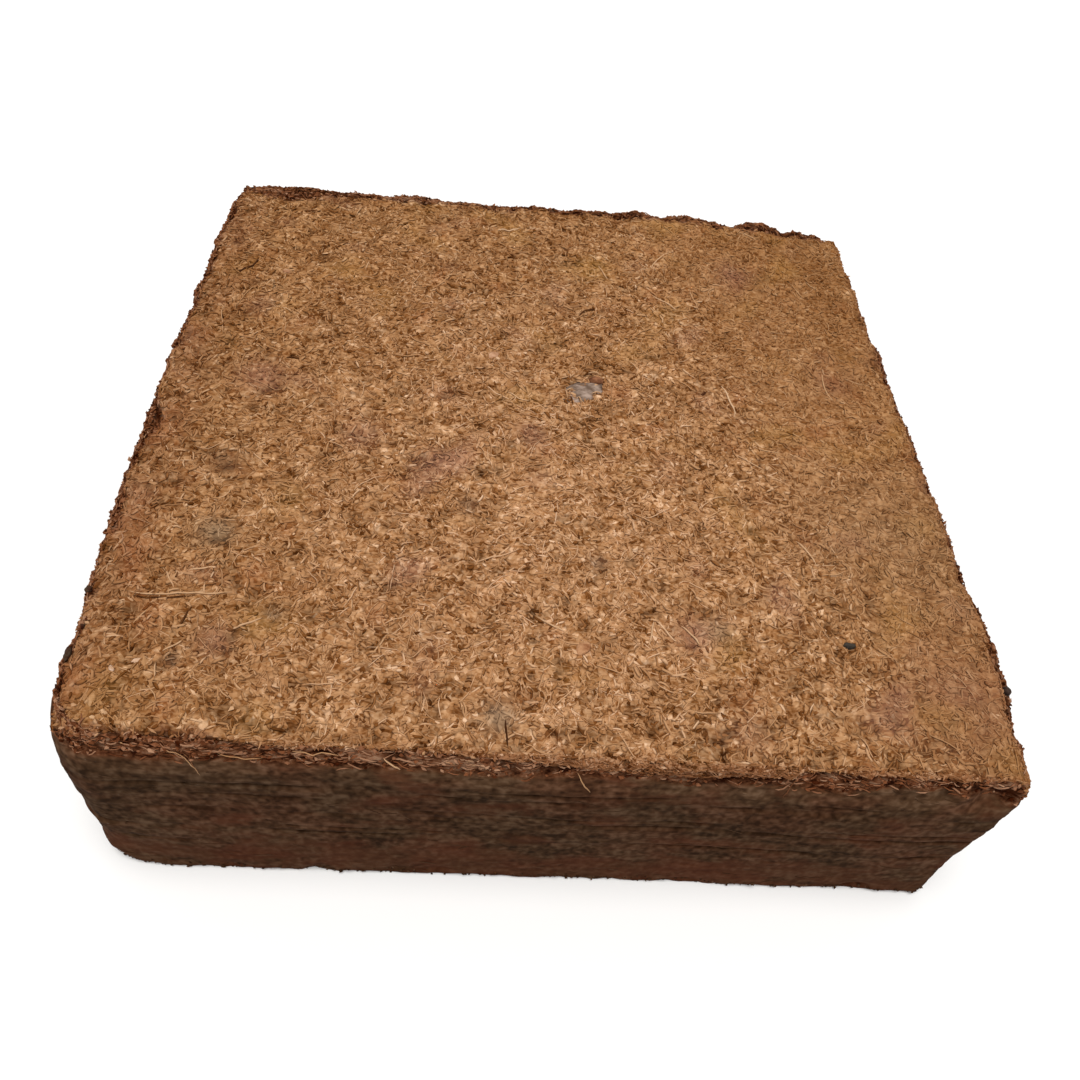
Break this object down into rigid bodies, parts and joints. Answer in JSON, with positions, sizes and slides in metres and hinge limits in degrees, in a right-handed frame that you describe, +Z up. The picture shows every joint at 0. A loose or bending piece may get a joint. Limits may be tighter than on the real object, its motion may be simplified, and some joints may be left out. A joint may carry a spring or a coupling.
{
  "type": "coconut coir bale",
  "caption": "Square bale of pressed coconut pith and fibre with layered walls and a torn top edge, used as growing medium or bedding.",
  "frame": {"origin": "middle of the flat underside", "axes": "+Z up through the pressed layers, +X to the right and -Y to the front as the picture sees the bale"},
  "size_m": [0.306, 0.306, 0.094],
  "materials": {
    "coir": "matt, rough pressed pith and fibre, darker on the walls and along the torn top edge"
  },
  "bodies": {
    "root": {"coir_bale": "coir"}
  },
  "joints": []
}
